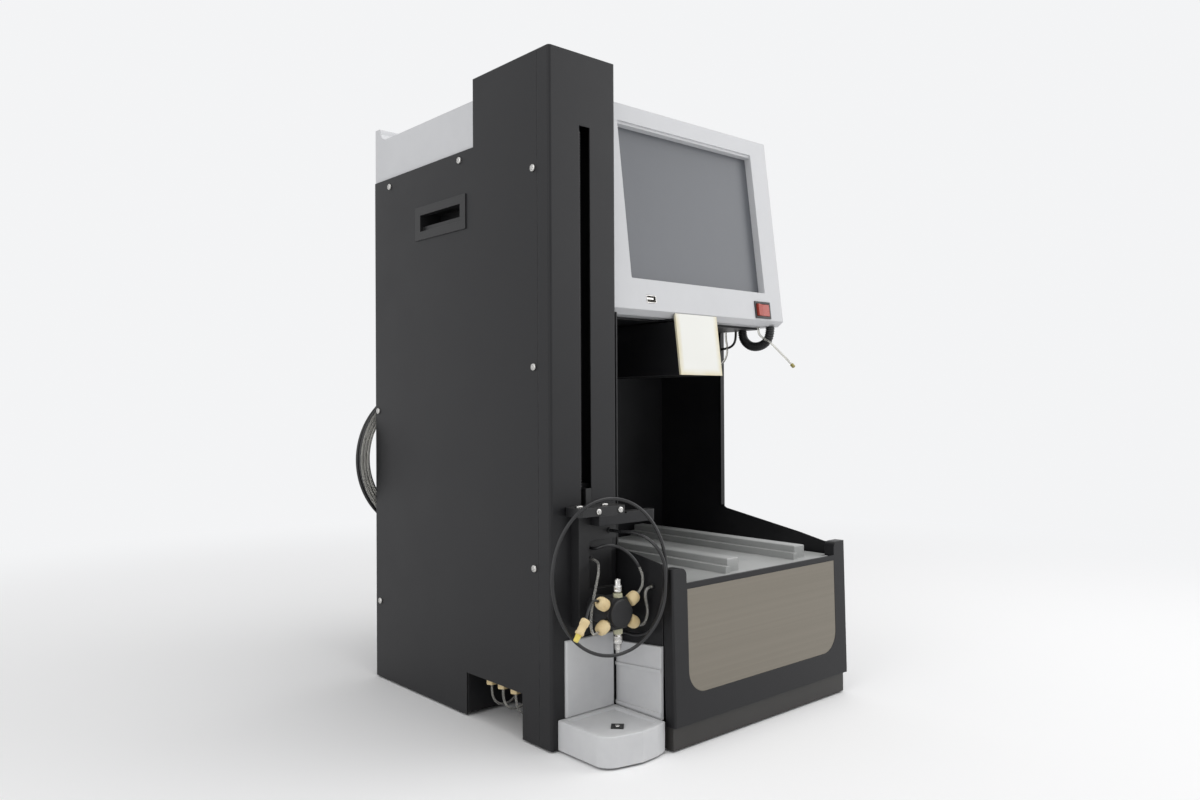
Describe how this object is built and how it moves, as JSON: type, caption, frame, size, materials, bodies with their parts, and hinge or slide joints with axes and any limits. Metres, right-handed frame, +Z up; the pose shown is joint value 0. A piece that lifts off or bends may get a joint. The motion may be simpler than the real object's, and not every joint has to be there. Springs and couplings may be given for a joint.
{
  "type": "flash chromatography system",
  "caption": "Bench-top flash chromatography system with valve tower, leaning touch screen, moving collector arm and open fraction bay.",
  "frame": {"origin": "middle of the footprint on the bench surface, without the tubes", "axes": "+Z up, -Y towards the user at the front, +X to the user's right"},
  "size_m": [0.3971, 0.4672, 0.668],
  "materials": {
    "black_sheet": "fine textured powder coat",
    "black_moulding": "satin",
    "rubber": "matt",
    "pale_fitting": "satin",
    "clear_tube": "translucent",
    "black_tube": "satin",
    "dark_steel": "blackened",
    "bright_steel": "machined",
    "beige_fitting": "natural polymer",
    "grey_moulding": "light texture",
    "brushed_plate": "brushed lengthways",
    "tray_grey": "satin",
    "screen": "matt film",
    "red_rocker": "gloss",
    "cream_plate": "satin",
    "aluminium": "machined"
  },
  "bodies": {
    "cabinet": {"base_pan": "black_sheet", "bay_walls": "black_sheet", "coil_lead": "black_tube", "coil_ring": "black_tube", "collect_tube": "clear_tube", "display_housing": "grey_moulding", "drive_belt": "rubber", "drive_motors": "dark_steel", "fan_frame": "black_moulding", "fascia": "black_sheet", "finger_nuts": "beige_fitting", "gantry_plate": "black_sheet", "gantry_rods": "bright_steel", "handle_cups": "black_moulding", "inlet_niche": "black_sheet", "inner_modules": "aluminium", "left_side_panel": "black_sheet", "loom_lead": "black_tube", "loom_loop": "black_tube", "luer_port": "beige_fitting", "niche_tubes": "clear_tube", "panel_screws": "bright_steel", "power_inlet": "black_moulding", "rack_strip": "dark_steel", "rear_panel": "black_sheet", "right_side_panel": "black_sheet", "rubber_feet": "rubber", "sample_loop": "black_tube", "skirt": "black_sheet", "slot_guide": "dark_steel", "splash_guards": "grey_moulding", "steel_fittings": "bright_steel", "steel_plate": "brushed_plate", "switch_bezel": "black_moulding", "top_cover": "grey_moulding", "touch_screen": "screen", "tower_cover": "black_sheet", "tube_fittings": "pale_fitting", "tube_glands": "black_moulding", "usb_port": "bright_steel", "valve_body": "black_moulding", "valve_panel": "black_moulding", "valve_tube_lower": "clear_tube", "valve_tube_side": "clear_tube", "valve_tube_upper": "clear_tube", "waste_tube": "clear_tube"},
    "column_holder": {"column_carriage": "black_moulding", "column_arm": "black_sheet", "carriage_screws": "bright_steel"},
    "collector_arm": {"arm_body": "black_sheet", "arm_front_plate": "cream_plate"},
    "head": {"delivery_head": "black_moulding"},
    "drive_pulley": {"drive_pulley": "aluminium"},
    "idler_pulley": {"idler_pulley": "aluminium"},
    "valve_rotor": {"valve_rotor": "bright_steel"},
    "power_rocker": {"power_rocker": "red_rocker"},
    "drip_tray": {"drip_tray": "grey_moulding", "drain_insert": "dark_steel"},
    "rack_tray": {"rack_tray": "tray_grey"},
    "fan_rotor": {"fan_rotor": "black_moulding"}
  },
  "joints": [
    {"name": "column_slide", "type": "slide", "parent": "cabinet", "child": "column_holder", "axis": [0, 0, 1], "range_m": [0, 0.35]},
    {"name": "collector_slide", "type": "slide", "parent": "cabinet", "child": "collector_arm", "axis": [1, 0, 0], "range_m": [-0.09, 0.09]},
    {"name": "head_slide", "type": "slide", "parent": "collector_arm", "child": "head", "axis": [0, 1, 0], "range_m": [-0.15, 0.01]},
    {"name": "drive_pulley_turn", "type": "hinge", "parent": "cabinet", "child": "drive_pulley", "pos_m": [-0.07725, 0.05775, 0.378], "axis": [0, 1, 0], "range_deg": [-520, 520]},
    {"name": "idler_pulley_turn", "type": "hinge", "parent": "cabinet", "child": "idler_pulley", "pos_m": [0.16825, 0.05775, 0.378], "axis": [0, 1, 0], "range_deg": [-520, 520]},
    {"name": "valve_turn", "type": "hinge", "parent": "cabinet", "child": "valve_rotor", "pos_m": [-0.13035, -0.18625, 0.1322], "axis": [0, 1, 0], "range_deg": [0, 60]},
    {"name": "rocker_tilt", "type": "hinge", "parent": "cabinet", "child": "power_rocker", "pos_m": [0.15125, -0.12929, 0.43732], "axis": [0, 0.1253, 0.9921], "range_deg": [-12, 0]},
    {"name": "drip_tray_slide", "type": "slide", "parent": "cabinet", "child": "drip_tray", "axis": [0, -1, 0], "range_m": [0, 0.08]},
    {"name": "rack_tray_lift", "type": "slide", "parent": "cabinet", "child": "rack_tray", "axis": [0, 0, 1], "range_m": [0, 0.05]},
    {"name": "fan_spin", "type": "hinge", "parent": "cabinet", "child": "fan_rotor", "pos_m": [-0.06675, 0.18275, 0.48], "axis": [0, 1, 0], "continuous": true}
  ],
  "couplings": [
    {"joint": "drive_pulley_turn", "follows": "collector_slide", "rad_per_m": -93.458},
    {"joint": "idler_pulley_turn", "follows": "collector_slide", "rad_per_m": -93.458}
  ]
}
